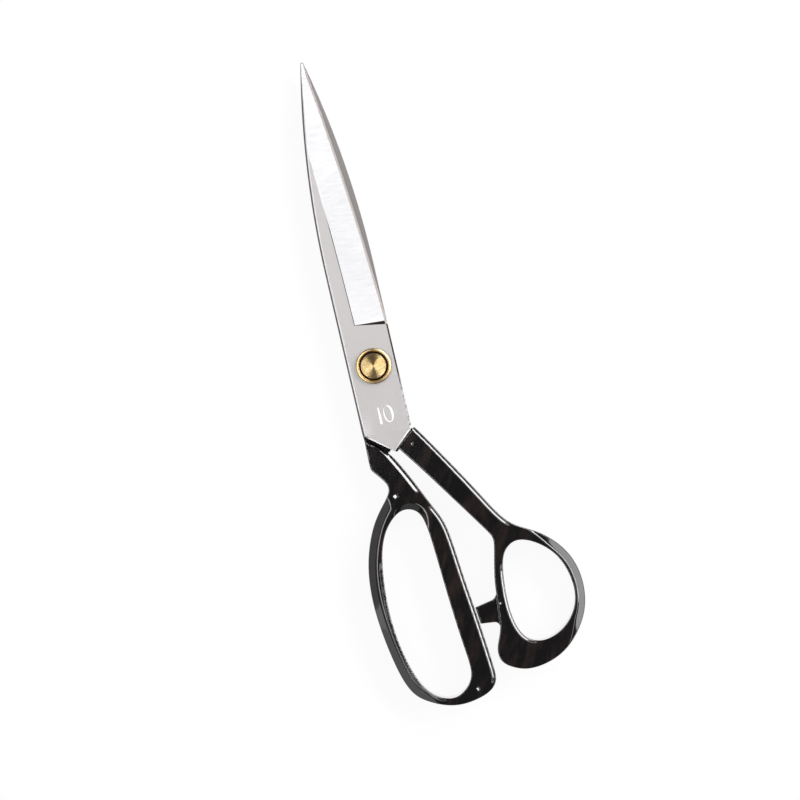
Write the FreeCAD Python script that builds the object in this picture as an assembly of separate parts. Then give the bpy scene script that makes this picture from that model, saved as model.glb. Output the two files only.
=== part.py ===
import FreeCAD, Part
import math
import os

# Fabric shears, closed and lying flat. Millimetres.
# The pivot axis is Z, the tips point along +Y, the thumb loop lies towards +X.
# Z = 0 is the surface that the nut and both loops lie on.
# A half's own side of the parting plane is the side its blade lies on:
# above it for the thumb half, below it for the finger half.

V = FreeCAD.Vector

# ---- blades -------------------------------------------------------------
BLADE_REACH = 119.7        # pivot axis to tip
BLADE_THICK = 3.8          # at the pivot
BLADE_GAP = 0.10           # between the two inner faces
SPINE_X = -10.1            # thumb blade's straight back
EDGE_X = 8.9               # thumb blade's straight front, below the ground edge
TIP_X = -0.55              # middle of the tip
TIP_WIDTH = 1.1
SPINE_BEND_Y = 38.0        # the back is straight up to here, then one long arc
EDGE_BULGE = 1.07          # height of the cutting edge's arc over its chord
BEVEL_START_Y = 16.2       # the ground bevel's shoulder
BEVEL_END_Y = 87.5         # the bevel reaches the back here
BEVEL_WIDTH = 12.2         # across the bevel at its shoulder
EDGE_THICK = 0.5           # left standing at the cutting edge
SPINE_LAND = 0.5           # narrowest flat left along the back
ARC_STATIONS = 12          # cross-sections of the blade along the back's arc
V_TIP_X = 0.5              # point of the blade's V-shaped tail
V_TIP_Y = -33.6
V_SPINE_Y = -25.2          # tail corner at the back
V_EDGE_Y = -26.3           # tail corner at the front
LAP_Y = -15.0              # the handle's tongue reaches up to here under the tail
TONGUE_THICK = 1.5
LAP_CLEARANCE = 0.05

# ---- size mark on the thumb blade ---------------------------------------
MARK_DEPTH = 0.15
MARK_HEIGHT = 6.5
MARK_Y = -19.1
ONE_X = -2.0
ONE_WIDTH = 1.0
ZERO_X = 1.5
ZERO_WIDTH = 3.5
ZERO_STROKE = 1.0
ZERO_THIN_STROKE = 0.5

# ---- handles ------------------------------------------------------------
HANDLE_REACH = 94.0        # pivot axis to the middle of the finger loop, along Y
THUMB_LOOP_DROP = 4.0      # middle of the thumb loop below that
FINGER_LOOP_X = -2.6
THUMB_LOOP_X = 43.0
HANDLE_EDGE_ROUND = 1.2
ARM_RISE = 24.0            # length over which an arm grows to full thickness
ARM_STEP = 0.2             # an arm starts this far below its blade's outer face
ARM_FAR_SIDE = 2.2         # and this far past the parting plane
ARM_OVERHANG = 1.1         # thumb arm past its blade's front corner
THUMB_ARM_INSET = 1.8      # thumb arm's inner side from the point of its blade's tail
FINGER_ARM_HEADING = (0.2, -0.98)
FINGER_CORNER_DROP = 13.0  # finger arm's straight outer side, below its blade's tail corner
FINGER_CORNER_ROUND = 2.5
STOP_THICK = 8.0
STOP_GAP = 0.3             # closed, between the stop and the finger loop
STOP_TOP = -0.9            # its sides, from the middle of the thumb loop along Y
STOP_BOTTOM = -7.5

# ---- pivot --------------------------------------------------------------
SHANK_RADIUS = 3.0
RUNNING_FIT = 0.05         # radial clearance on the shank
SHANK_FLATS = 5.0          # across the flats that key it in the finger blade
HEAD_RADIUS = 5.0
HEAD_THICK = 1.5
HEAD_DISH = 0.5            # depth of its hollow
HEAD_RIM = 0.5             # flat round the hollow
CUP_RADIUS = 6.8
CUP_FLOOR = 0.8
CUP_WALL_HEIGHT = 1.9
CUP_CLEARANCE = 0.2        # round the head
CUP_LIFT = 0.05            # cup to the turning thumb blade
CUP_EDGE_ROUND = 0.7
BACK_WASHER_RADIUS = 6.2
BACK_WASHER_THICK = 0.6
SPRING_WASHER_RADIUS = 5.4
SPRING_WASHER_THICK = 0.5
SPRING_SPLIT = 0.6
NUT_ACROSS_FLATS = 10.0
NUT_THICK = 1.55
NUT_CHAMFER = 0.4
SHANK_END_RECESS = 0.3     # the shank ends this far inside the nut

# ---- derived ------------------------------------------------------------
HALF_GAP = BLADE_GAP / 2
OUTER_FACE = HALF_GAP + BLADE_THICK
BACK_STACK = BACK_WASHER_THICK + SPRING_WASHER_THICK + NUT_THICK
PARTING_Z = OUTER_FACE + BACK_STACK
HANDLE_THICK = 2 * PARTING_Z       # so both loops lie on the same surface as the nut
BLADE_MID_X = (SPINE_X + EDGE_X) / 2
FINGER_LOOP = (FINGER_LOOP_X, -HANDLE_REACH)
THUMB_LOOP = (THUMB_LOOP_X, -HANDLE_REACH - THUMB_LOOP_DROP)
TALL = 40.0                # longer than anything it cuts


# ---- outlines -----------------------------------------------------------
def rounded_wire(corners):
    """Closed flat wire of straight runs joined by tangent arcs; a corner is (x, y, radius)."""
    edges = []
    ends = []
    count = len(corners)
    for i, (x, y, radius) in enumerate(corners):
        here = V(x, y, 0)
        to_last = (V(*corners[i - 1][:2], 0) - here).normalize()
        to_next = (V(*corners[(i + 1) % count][:2], 0) - here).normalize()
        if radius == 0:
            ends.append((here, here, here))
            continue
        half = to_last.getAngle(to_next) / 2
        reach = radius / math.tan(half)
        middle = (to_last + to_next).normalize() * (radius / math.sin(half) - radius)
        ends.append((here + to_last * reach, here + middle, here + to_next * reach))
    for i, (first, top, last) in enumerate(ends):
        if (last - first).Length > 1e-6:
            edges.append(Part.Arc(first, top, last).toShape())
        following = ends[(i + 1) % count][0]
        if (following - last).Length > 1e-6:
            edges.append(Part.makeLine(last, following))
    return Part.Wire(edges)


def prism(wire, low, high):
    """The area inside a flat wire, from height low to height high."""
    face = Part.Face(wire)
    face.translate(V(0, 0, low))
    return face.extrude(V(0, 0, high - low))


def moved(points, middle):
    """Corners given about a loop's middle, in the shears' own place."""
    return [(x + middle[0], y + middle[1], radius) for x, y, radius in points]


def mirrored_x(x):
    """The place in the finger blade of a point x of the thumb blade."""
    return 2 * BLADE_MID_X - x


# ---- blades -------------------------------------------------------------
def spine_x(y):
    """Back of the thumb blade: straight, then an arc tangent to it that ends at the tip."""
    if y <= SPINE_BEND_Y:
        return SPINE_X
    across = TIP_X - TIP_WIDTH / 2 - SPINE_X
    along = BLADE_REACH - SPINE_BEND_Y
    radius = (across**2 + along**2) / (2 * across)
    return SPINE_X + radius - math.sqrt(radius**2 - (y - SPINE_BEND_Y) ** 2)


def edge_x(y):
    """Cutting edge of the thumb blade: a shallow bow over the chord from shoulder to tip."""
    share = (y - BEVEL_START_Y) / (BLADE_REACH - BEVEL_START_Y)
    chord = EDGE_X + (TIP_X + TIP_WIDTH / 2 - EDGE_X) * share
    return chord + EDGE_BULGE * 4 * share * (1 - share)


def blade_section(y):
    """Cross-section of the ground part: back, land, bevel and edge, as a closed wire."""
    share = (y - BEVEL_START_Y) / (BEVEL_END_Y - BEVEL_START_Y)
    slope = (BLADE_THICK - EDGE_THICK) / BEVEL_WIDTH
    back, edge = spine_x(y), edge_x(y)
    bevel_width = BEVEL_WIDTH + share * (edge_x(BEVEL_END_Y) - spine_x(BEVEL_END_Y) - BEVEL_WIDTH)
    bevel = max(back + min(SPINE_LAND, (edge - back) / 3), edge - bevel_width)
    top = HALF_GAP + min(BLADE_THICK, EDGE_THICK + (edge - bevel) * slope)
    lip = HALF_GAP + EDGE_THICK
    corners = [
        V(back, y, HALF_GAP),
        V(back, y, top),
        V(bevel, y, top),
        V(edge, y, lip),
        V(edge, y, HALF_GAP),
    ]
    return Part.makePolygon(corners + corners[:1])


def tail_corners():
    return [
        (EDGE_X, V_EDGE_Y, 0),
        (V_TIP_X, V_TIP_Y, 0),
        (SPINE_X, V_SPINE_Y, 0),
    ]


def blade_blank():
    """Thumb blade about the parting plane at height 0, with its lap but without its pivot hole."""
    flat = [(SPINE_X, BEVEL_START_Y, 0), (EDGE_X, BEVEL_START_Y, 0)] + tail_corners()
    root = prism(rounded_wire(flat), HALF_GAP, OUTER_FACE)
    step = (BLADE_REACH - SPINE_BEND_Y) / ARC_STATIONS
    stations = [BEVEL_START_Y] + [SPINE_BEND_Y + step * k for k in range(ARC_STATIONS + 1)]
    ground = Part.makeLoft([blade_section(y) for y in stations], True, True)
    blade = root.fuse(ground).removeSplitter()
    width = EDGE_X - SPINE_X
    lap = Part.makeBox(width, TALL, TONGUE_THICK, V(SPINE_X, LAP_Y - TALL, HALF_GAP))
    return blade.cut(lap)


def turned_over(shape):
    """The same shape turned half round the blade's long middle line, as the finger half's."""
    other = shape.copy()
    other.rotate(V(BLADE_MID_X, 0, 0), V(0, 1, 0), 180)
    return other


def size_mark():
    """Sunk figure 10: a bar and an upright ring, thick at its sides."""
    low = OUTER_FACE - MARK_DEPTH
    bar = Part.makeBox(
        ONE_WIDTH, MARK_HEIGHT, TALL, V(ONE_X - ONE_WIDTH / 2, MARK_Y - MARK_HEIGHT / 2, low)
    )
    middle = V(ZERO_X, MARK_Y, low)
    ring = oval(middle, MARK_HEIGHT / 2, ZERO_WIDTH / 2)
    hole = oval(middle, MARK_HEIGHT / 2 - ZERO_THIN_STROKE, ZERO_WIDTH / 2 - ZERO_STROKE)
    return bar.fuse(ring.cut(hole))


def oval(middle, half_height, half_width):
    """Upright elliptical prism."""
    ellipse = Part.Ellipse(
        middle + V(0, half_height, 0), middle + V(-half_width, 0, 0), middle
    )
    return Part.Face(Part.Wire(ellipse.toShape())).extrude(V(0, 0, TALL))


def thumb_blade():
    bore = Part.makeCylinder(SHANK_RADIUS + RUNNING_FIT, TALL, V(0, 0, -TALL / 2))
    return blade_blank().cut(bore).cut(size_mark())


def finger_blade():
    return turned_over(blade_blank()).cut(keyed_shank(RUNNING_FIT, -TALL / 2, TALL / 2))


# ---- handles ------------------------------------------------------------
def thumb_v():
    """Point and front corner of the thumb blade's tail, where its arm starts."""
    return (V_TIP_X, V_TIP_Y), (EDGE_X, V_EDGE_Y)


def finger_v():
    """The same two points of the finger blade's tail."""
    return (mirrored_x(V_TIP_X), V_TIP_Y), (mirrored_x(EDGE_X), V_EDGE_Y)


FINGER_HOLE = moved([
    (8.2, 38.4, 6.0),
    (13.8, -37.2, 7.5),
    (-6.5, -35.0, 12.5),
    (-15.1, 2.9, 70.0),
    (-5.2, 38.4, 9.0),
], FINGER_LOOP)

# the finger bar's outer side, which the thumb handle's stop lies against
FINGER_BAR_TOP = (15.8, 30.1, 20.0)
FINGER_BAR_BOTTOM = (22.2, -35.9, 5.0)

FINGER_OUTLINE = moved([
    (11.2, 38.6, 6.0),
    FINGER_BAR_TOP,
    FINGER_BAR_BOTTOM,
    (6.5, -41.0, 16.0),
    (-12.7, -33.1, 14.0),
    (-19.9, 9.0, 66.0),
    (-12.5, 34.5, 30.0),
    (-1.2, 46.3, 4.2),
], FINGER_LOOP)

THUMB_HOLE = moved([
    (-11.0, 20.8, 7.0),
    (-1.1, 21.1, 8.0),
    (8.6, 12.9, 14.0),
    (13.7, 1.1, 13.0),
    (11.0, -11.5, 9.0),
    (0.7, -19.3, 9.0),
    (-11.4, -19.1, 8.0),
    (-13.8, -0.5, 60.0),
], THUMB_LOOP)

THUMB_RING = moved([
    (-6.9, 28.1, 6.0),
    (8.4, 19.0, 22.0),
    (16.8, 5.1, 20.0),
    (16.3, -10.3, 20.0),
    (6.1, -23.7, 20.0),
    (-9.6, -30.5, 16.0),
    (-23.7, -22.5, 5.5),
    (-18.7, -9.0, 5.0),
    (-13.1, 23.8, 3.2),
], THUMB_LOOP)

# where the stop grows out of the thumb loop, inside its bar
STOP_ROOT = [(-15.6, -9.5, 0), (-15.0, 1.5, 0)]


def finger_arm_front():
    """Outer and inner end of the finger arm's slanted front face."""
    point, corner = finger_v()
    return corner, point


def thumb_arm_front():
    """Outer and inner end of the thumb arm's slanted front face."""
    point, corner = thumb_v()
    length = math.dist(point, corner)
    ends = []
    for along in (length + ARM_OVERHANG, THUMB_ARM_INSET):
        ends.append(tuple(p + (c - p) * along / length for p, c in zip(point, corner)))
    return ends


def stop_corners():
    """The stop's two free corners, parallel to the finger bar and one gap away from it."""
    top = moved([FINGER_BAR_TOP], FINGER_LOOP)[0][:2]
    bottom = moved([FINGER_BAR_BOTTOM], FINGER_LOOP)[0][:2]
    lean = (bottom[0] - top[0]) / (bottom[1] - top[1])
    gap = STOP_GAP * math.hypot(1, lean)
    corners = []
    for y in (STOP_BOTTOM + THUMB_LOOP[1], STOP_TOP + THUMB_LOOP[1]):
        corners.append((top[0] + lean * (y - top[1]) + gap, y, 0))
    return corners


def slab(corners, hole, front):
    """Full-thickness casting about the parting plane, with rounded rims except along its front."""
    half = HANDLE_THICK / 2
    solid = prism(rounded_wire(corners), -half, half).cut(prism(rounded_wire(hole), -half, half))
    rims = []
    for edge in solid.Edges:
        heights = [abs(abs(v.Z) - half) for v in edge.Vertexes]
        level = max(heights) < 1e-6 and abs(edge.Vertexes[0].Z - edge.Vertexes[-1].Z) < 1e-6
        middle = edge.valueAt((edge.FirstParameter + edge.LastParameter) / 2)
        on_front = abs(distance_to_line(middle, front)) < 0.01
        if level and not on_front:
            rims.append(edge)
    return solid.makeFillet(HANDLE_EDGE_ROUND, rims)


def distance_to_line(point, line):
    (ax, ay), (bx, by) = line
    across = (bx - ax) * (point.y - ay) - (by - ay) * (point.x - ax)
    return across / math.hypot(bx - ax, by - ay)


TAPER_MARGIN = 5.0         # the cut starts this far before the arm
TAPER_HALF_WIDTH = 12.0    # and reaches past both its sides


def arm_taper(front, heading, own_side):
    """What is cut away so that an arm starts as thin as its blade and grows to full thickness."""
    half = HANDLE_THICK / 2
    middle = V((front[0][0] + front[1][0]) / 2, (front[0][1] + front[1][1]) / 2, 0)
    ahead = V(*heading, 0).normalize()
    start = -TAPER_MARGIN
    own = OUTER_FACE - ARM_STEP
    wedges = []
    for side, height in ((own_side, own), (-own_side, ARM_FAR_SIDE)):
        profile = [(start, height), (0, height), (ARM_RISE, half), (ARM_RISE, TALL), (start, TALL)]
        points = [middle + ahead * s + V(0, 0, side * w) for s, w in profile]
        face = Part.Face(Part.makePolygon(points + points[:1]))
        across = V(-ahead.y, ahead.x, 0) * TAPER_HALF_WIDTH
        face.translate(-across)
        wedges.append(face.extrude(across * 2))
    return wedges[0].fuse(wedges[1])


def tongue():
    """The thumb handle's tongue, which lies in the lap of the blade's tail."""
    flat = [(SPINE_X, LAP_Y - LAP_CLEARANCE, 0), (EDGE_X, LAP_Y - LAP_CLEARANCE, 0)]
    return prism(rounded_wire(flat + tail_corners()), HALF_GAP, HALF_GAP + TONGUE_THICK)


def thumb_handle():
    outer, inner = thumb_arm_front()
    corners = [(*outer, 0)] + THUMB_RING + [(*inner, 0)]
    casting = slab(corners, THUMB_HOLE, (outer, inner))
    knuckle = THUMB_RING[-1]
    heading = (knuckle[0] - inner[0], knuckle[1] - inner[1])
    casting = casting.cut(arm_taper((outer, inner), heading, 1))
    return casting.fuse(stop_bar()).fuse(tongue()).removeSplitter()


def stop_bar():
    """Bar on the thumb loop that meets the finger loop's bar when the shears are closed."""
    root_bottom, root_top = moved(STOP_ROOT, THUMB_LOOP)
    corners = [root_bottom, root_top] + stop_corners()[::-1]
    return prism(rounded_wire(corners), -STOP_THICK / 2, STOP_THICK / 2)


def finger_handle():
    outer, inner = finger_arm_front()
    corner = (outer[0], outer[1] - FINGER_CORNER_DROP, FINGER_CORNER_ROUND)
    corners = [(*inner, 0)] + FINGER_OUTLINE + [corner, (*outer, 0)]
    casting = slab(corners, FINGER_HOLE, (outer, inner))
    casting = casting.cut(arm_taper((outer, inner), FINGER_ARM_HEADING, -1))
    return casting.fuse(turned_over(tongue())).removeSplitter()


# ---- pivot --------------------------------------------------------------
def turned(profile):
    """Solid of revolution about Z from a closed profile of (radius, height) points."""
    points = [V(r, 0, z) for r, z in profile]
    face = Part.Face(Part.makePolygon(points + points[:1]))
    return face.revolve(V(0, 0, 0), V(0, 0, 1), 360)


def ring(radius, bore, low, thick):
    return Part.makeCylinder(radius, thick, V(0, 0, low)).cut(
        Part.makeCylinder(bore, thick, V(0, 0, low))
    )


def keyed_shank(clearance, low, high):
    """Round shank with two flats, from height low to height high."""
    radius = SHANK_RADIUS + clearance
    across = SHANK_FLATS / 2 + clearance
    rod = Part.makeCylinder(radius, high - low, V(0, 0, low))
    return rod.common(Part.makeBox(2 * across, 2 * radius, high - low, V(-across, -radius, low)))


def cup_floor_height():
    return OUTER_FACE + CUP_LIFT


def pivot_screw():
    """Dished head, round shank through the thumb blade, keyed shank below, threaded end."""
    seat = cup_floor_height() + CUP_FLOOR
    head = Part.makeCylinder(HEAD_RADIUS, HEAD_THICK, V(0, 0, seat))
    rim = HEAD_RADIUS - HEAD_RIM
    dish_radius = (rim**2 + HEAD_DISH**2) / (2 * HEAD_DISH)
    dish = Part.makeSphere(dish_radius, V(0, 0, seat + HEAD_THICK - HEAD_DISH + dish_radius))
    head = head.cut(dish)
    shank = Part.makeCylinder(SHANK_RADIUS, seat, V(0, 0, 0))
    end = -PARTING_Z + SHANK_END_RECESS
    thread = Part.makeCylinder(SHANK_RADIUS, -OUTER_FACE - end, V(0, 0, end))
    return head.fuse(shank).fuse(keyed_shank(0, -OUTER_FACE, 0)).fuse(thread).removeSplitter()


def cup_washer():
    """Brass cup round the head, with a rounded rim."""
    floor = cup_floor_height()
    recess = HEAD_RADIUS + CUP_CLEARANCE
    cup = Part.makeCylinder(CUP_RADIUS, CUP_WALL_HEIGHT, V(0, 0, floor))
    rims = [e for e in cup.Edges if abs(e.CenterOfMass.z - floor - CUP_WALL_HEIGHT) < 1e-6]
    cup = cup.makeFillet(CUP_EDGE_ROUND, rims)
    cup = cup.cut(Part.makeCylinder(recess, TALL, V(0, 0, floor + CUP_FLOOR)))
    return cup.cut(Part.makeCylinder(SHANK_RADIUS + RUNNING_FIT, TALL, V(0, 0, 0)))


def back_washer():
    bore = SHANK_RADIUS + RUNNING_FIT
    return ring(BACK_WASHER_RADIUS, bore, -OUTER_FACE - BACK_WASHER_THICK, BACK_WASHER_THICK)


def spring_washer():
    """Split lock washer, pressed flat by the nut."""
    top = -OUTER_FACE - BACK_WASHER_THICK
    bore = SHANK_RADIUS + RUNNING_FIT
    washer = ring(SPRING_WASHER_RADIUS, bore, top - SPRING_WASHER_THICK, SPRING_WASHER_THICK)
    split = Part.makeBox(TALL, SPRING_SPLIT, TALL, V(0, -SPRING_SPLIT / 2, -TALL))
    return washer.cut(split)


def pivot_nut():
    """Thin hexagon nut whose flat underside is what the shears lie on at the pivot."""
    corner_radius = NUT_ACROSS_FLATS / math.sqrt(3)
    low = -PARTING_Z
    points = []
    for k in range(7):
        angle = math.radians(60 * k)
        points.append(V(corner_radius * math.cos(angle), corner_radius * math.sin(angle), low))
    hexagon = Part.Face(Part.makePolygon(points)).extrude(V(0, 0, NUT_THICK))
    flat = NUT_ACROSS_FLATS / 2
    cone = turned([
        (0, low),
        (flat, low),
        (flat + NUT_CHAMFER * 2, low + NUT_CHAMFER),
        (flat + NUT_CHAMFER * 2, low + NUT_THICK),
        (0, low + NUT_THICK),
    ])
    bore = Part.makeCylinder(SHANK_RADIUS + RUNNING_FIT / 2, TALL, V(0, 0, -TALL))
    return hexagon.common(cone).cut(bore)


NODES = {
    "thumb_blade": thumb_blade,
    "thumb_handle": thumb_handle,
    "finger_blade": finger_blade,
    "finger_handle": finger_handle,
    "pivot_screw": pivot_screw,
    "cup_washer": cup_washer,
    "back_washer": back_washer,
    "spring_washer": spring_washer,
    "pivot_nut": pivot_nut,
}

os.makedirs("parts", exist_ok=True)
for name, make in NODES.items():
    shape = make()
    shape.translate(V(0, 0, PARTING_Z))
    shape.exportStep("parts/" + name + ".step")
    box = shape.BoundBox
    print(name, len(shape.Solids), shape.isValid(), round(shape.Volume), "mm3",
          [round(v, 2) for v in (box.XMin, box.YMin, box.ZMin, box.XMax, box.YMax, box.ZMax)])
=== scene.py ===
# %% [markdown]
# A pair of fabric shears lies closed on a pale table, its tips pointing away. The solid model
# gives the frame: which part turns with which, how thick each one is and where the pivot sits.
# Everything below is measured from that frame, so a piece goes where the solid says.

# %% The frame
import math
import bpy
import numpy as np
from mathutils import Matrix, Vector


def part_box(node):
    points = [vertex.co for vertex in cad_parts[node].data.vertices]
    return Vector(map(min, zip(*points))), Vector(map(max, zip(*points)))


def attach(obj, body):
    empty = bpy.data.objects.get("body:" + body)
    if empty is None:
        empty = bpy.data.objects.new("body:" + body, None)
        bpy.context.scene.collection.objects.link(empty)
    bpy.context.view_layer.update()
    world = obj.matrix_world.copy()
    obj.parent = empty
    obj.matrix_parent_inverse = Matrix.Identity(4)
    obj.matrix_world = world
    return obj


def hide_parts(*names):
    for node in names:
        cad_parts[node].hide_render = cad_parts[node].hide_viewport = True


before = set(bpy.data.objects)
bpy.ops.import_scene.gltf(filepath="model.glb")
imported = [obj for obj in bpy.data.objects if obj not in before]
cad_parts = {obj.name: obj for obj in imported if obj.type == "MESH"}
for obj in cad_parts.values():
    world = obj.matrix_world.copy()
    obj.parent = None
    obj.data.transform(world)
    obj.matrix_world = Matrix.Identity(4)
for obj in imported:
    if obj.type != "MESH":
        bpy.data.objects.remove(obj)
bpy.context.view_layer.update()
MM = 0.001

# %% [markdown]
# Each piece is worked out in millimetres and put into its mesh in metres. The heights come from
# the boxes of the solid nodes: the two blades meet at the parting plane, the handles are as
# thick as the whole stack, and the nut and both loops rest on the table at height 0.

# %% Heights of the stack


def levels(node):
    """Lowest and highest point of a solid node, in millimetres."""
    low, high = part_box(node)
    return low.z / MM, high.z / MM


UPPER_INNER, UPPER_OUTER = levels("thumb_blade")
LOWER_OUTER, LOWER_INNER = levels("finger_blade")
TABLE, HANDLE_TOP = levels("thumb_handle")
PARTING = (UPPER_INNER + LOWER_INNER) / 2
BLADE_THICK = UPPER_OUTER - UPPER_INNER
blade_low, blade_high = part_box("thumb_blade")
SPINE_X, EDGE_X, TIP_Y = blade_low.x / MM, blade_high.x / MM, blade_high.y / MM
BLADE_MID_X = (SPINE_X + EDGE_X) / 2
print("parting plane", round(PARTING, 2), "blade", round(BLADE_THICK, 2), "to tip", TIP_Y)

# %% [markdown]
# A mesh whose faces point inwards renders dark and prints hollow. A closed shell shows which
# way it points by its volume: added up over all faces, it is negative when they point inwards.
# Testing that once in the helper that makes every shell is safer than minding each grid.

# %% Making a piece


def volume(points, faces):
    """Six times the volume: corner one dot (corner two cross corner three), over a fan of
    triangles in each face."""
    total = 0.0
    first = points[faces[:, 0]]
    for k in range(1, faces.shape[1] - 1):
        across = np.cross(points[faces[:, k]], points[faces[:, k + 1]])
        total += np.einsum("ij,ij->", first, across)
    return total


def new_shell(name, points, faces):
    """A mesh object from points in mm and a list of arrays of faces, turned to face outwards."""
    if sum(volume(points, part) for part in faces) < 0:
        faces = [part[:, ::-1] for part in faces]
    mesh = bpy.data.meshes.new(name)
    mesh.from_pydata((points * MM).tolist(), [], [f for part in faces for f in part.tolist()])
    made = bpy.data.objects.new(name, mesh)
    bpy.context.scene.collection.objects.link(made)
    return made


def make_piece(name, points, faces, body, node, finishes, kinds=None):
    """A shell on its body, in the place of its node; kinds says which finish each face has."""
    piece = new_shell(name, points, faces)
    mesh = piece.data
    mesh.shade_smooth()
    for finish in finishes:
        mesh.materials.append(finish)
    if kinds is not None:
        mesh.polygons.foreach_set("material_index", np.asarray(kinds, np.int32))
    if node:
        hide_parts(node)
    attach(piece, body)
    print(name, len(mesh.vertices), "points", len(mesh.polygons), "faces")
    return piece


def grid_faces(rows, columns, ring=False):
    """Quads between the rows and columns of a grid; ring also joins the last row to the first."""
    i = np.arange(rows if ring else rows - 1)[:, None]
    j = np.arange(columns)[None, :]
    here, across = i * columns, (i + 1) % rows * columns
    following = (j + 1) % columns
    quads = np.stack([here + j, here + following, across + following, across + j], -1)
    return quads.reshape(-1, 4)


# %% [markdown]
# Shader graphs are easier to read as sums. This class holds one socket of a node tree, and
# adding, subtracting or multiplying two of them makes the Math node that does it, and a plain
# number may stand on either side. Every other node comes from its one method, node().

# %% Shader arithmetic


class Socket:
    """An output socket that can be reckoned with, and the tree that it belongs to."""

    def __init__(self, tree, output=None):
        self.tree = tree
        self.output = output

    def node(self, kind, settings=(), inputs=(), output=0):
        """Adds a node of that type: first its settings or ramp stops, then its sockets."""
        made = self.tree.nodes.new(kind)
        for key, value in dict(settings).items():
            if key == "stops":
                ramp = made.color_ramp.elements
                while len(ramp) < len(value):
                    ramp.new(0.5)
                for element, (position, colour) in zip(ramp, value):
                    element.position = position
                    element.color = (*colour, 1)
            else:
                setattr(made, key, value)
        for key, value in dict(inputs).items():
            if isinstance(value, Socket):
                self.tree.links.new(value.output, made.inputs[key])
            else:
                made.inputs[key].default_value = value
        return Socket(self.tree, made.outputs[output])

    def maths(self, operation, first, second=0.0):
        """The Math node of that operation on two sockets or plain numbers."""
        return self.node("ShaderNodeMath", {"operation": operation}, {0: first, 1: second})

    def __add__(self, other):
        return self.maths("ADD", self, other)

    def __radd__(self, other):
        return self.maths("ADD", other, self)

    def __sub__(self, other):
        return self.maths("SUBTRACT", self, other)

    def __rsub__(self, other):
        return self.maths("SUBTRACT", other, self)

    def __mul__(self, other):
        return self.maths("MULTIPLY", self, other)

    def __rmul__(self, other):
        return self.maths("MULTIPLY", other, self)

    def between(self, low, high):
        """0 below low, 1 above high, a straight ramp between them."""
        inputs = {"Value": self, "From Min": low, "From Max": high}
        return self.node("ShaderNodeMapRange", {"clamp": True}, inputs)

    def mixed(self, first, second):
        """The colour that is first where this socket is 0 and second where it is 1."""
        names = {"Factor": self, 6: first, 7: second}
        return self.node("ShaderNodeMix", {"data_type": "RGBA"}, names, 2)

    def stretched(self, x, y, z):
        """This vector with each axis scaled, to make streaks out of a round noise."""
        return self.node("ShaderNodeVectorMath", {"operation": "MULTIPLY"}, {0: self, 1: (x, y, z)})

    def noise(self, scale, detail=2.0, roughness=0.5):
        """Smooth noise of that many lumps to the metre, from 0 to 1."""
        inputs = {"Vector": self, "Scale": scale, "Detail": detail, "Roughness": roughness}
        return self.node("ShaderNodeTexNoise", {}, inputs)

    def bump(self, height, depth):
        """The surface normal tilted as if the surface rose by height times depth in metres."""
        return self.node("ShaderNodeBump", {}, {"Height": height, "Distance": depth})


def start(name):
    """A new material, its Object coordinates as a Socket."""
    made = bpy.data.materials.new(name)
    made.use_nodes = True
    tree = made.node_tree
    place = Socket(tree).node("ShaderNodeTexCoord", output="Object")
    return made, place


def coat(made, **values):
    """Fills the sockets of the material's Principled shader by their names."""
    shader = made.node_tree.nodes["Principled BSDF"]
    for name, value in values.items():
        socket = shader.inputs[name.replace("_", " ")]
        if isinstance(value, Socket):
            made.node_tree.links.new(value.output, socket)
        else:
            socket.default_value = value
    return made


# %% [markdown]
# The blades are forged steel, surface ground and then polished to an even satin. The wheel
# leaves hair-fine lines, so the finish is a metal of middling roughness whose colour and
# roughness change a little along streaks that run the length of the blade.

# %% Satin steel


def satin_steel(name, light, dark, roughness, streak, lines, depth):
    """Ground steel: a colour between dark and light, lines along streak = (x, y) scales."""
    made, place = start(name)
    grain = place.stretched(*streak, 1.0).noise(lines, 3.0, 0.6)
    cloud = place.noise(60.0, 2.0)
    shade = (grain * 0.6 + cloud * 0.4).between(0.3, 0.7)
    return coat(
        made,
        Base_Color=shade.mixed((*dark, 1), (*light, 1)),
        Metallic=1.0,
        Roughness=roughness + (grain - 0.5) * 0.12,
        Normal=place.bump(grain, depth),
    )


flat_steel = satin_steel(
    "satin_steel", (0.66, 0.635, 0.63), (0.62, 0.60, 0.595), 0.42, (9.0, 1.0), 900.0, 2e-6
)
print("satin steel made")

# %% [markdown]
# The bevel is ground across the blade, so its lines run the other way, from the back to the
# cutting edge, in shallow waves as the wheel chattered. It is cleaner and brighter than the flat.

# %% Bevel, edge and inner faces
bevel_steel = satin_steel(
    "ground_bevel", (0.63, 0.63, 0.64), (0.535, 0.535, 0.545), 0.20, (1.0, 9.0), 200.0, 8e-6
)
honed_steel = satin_steel(
    "honed_edge", (0.76, 0.70, 0.67), (0.65, 0.59, 0.565), 0.30, (1.0, 6.0), 900.0, 2e-6
)
# Painted shade: inner_face is a darker copy of the same steel, for the shade under the other blade.
inner_steel = satin_steel(
    "inner_face", (0.42, 0.395, 0.39), (0.36, 0.34, 0.335), 0.34, (9.0, 1.0), 900.0, 2e-6
)
side_steel = satin_steel(
    "blade_side", (0.46, 0.45, 0.47), (0.38, 0.37, 0.39), 0.30, (1.0, 6.0), 500.0, 2e-6
)
# Painted shade: blade_back is a darker, bluish copy of the same steel, for the grey line along the
# back's chamfer and the dark line at the blunt tip.
back_steel = satin_steel(
    "blade_back", (0.33, 0.325, 0.355), (0.25, 0.245, 0.27), 0.34, (6.0, 1.0), 500.0, 2e-6
)
print("bevel, edge and inner finishes made")
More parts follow.
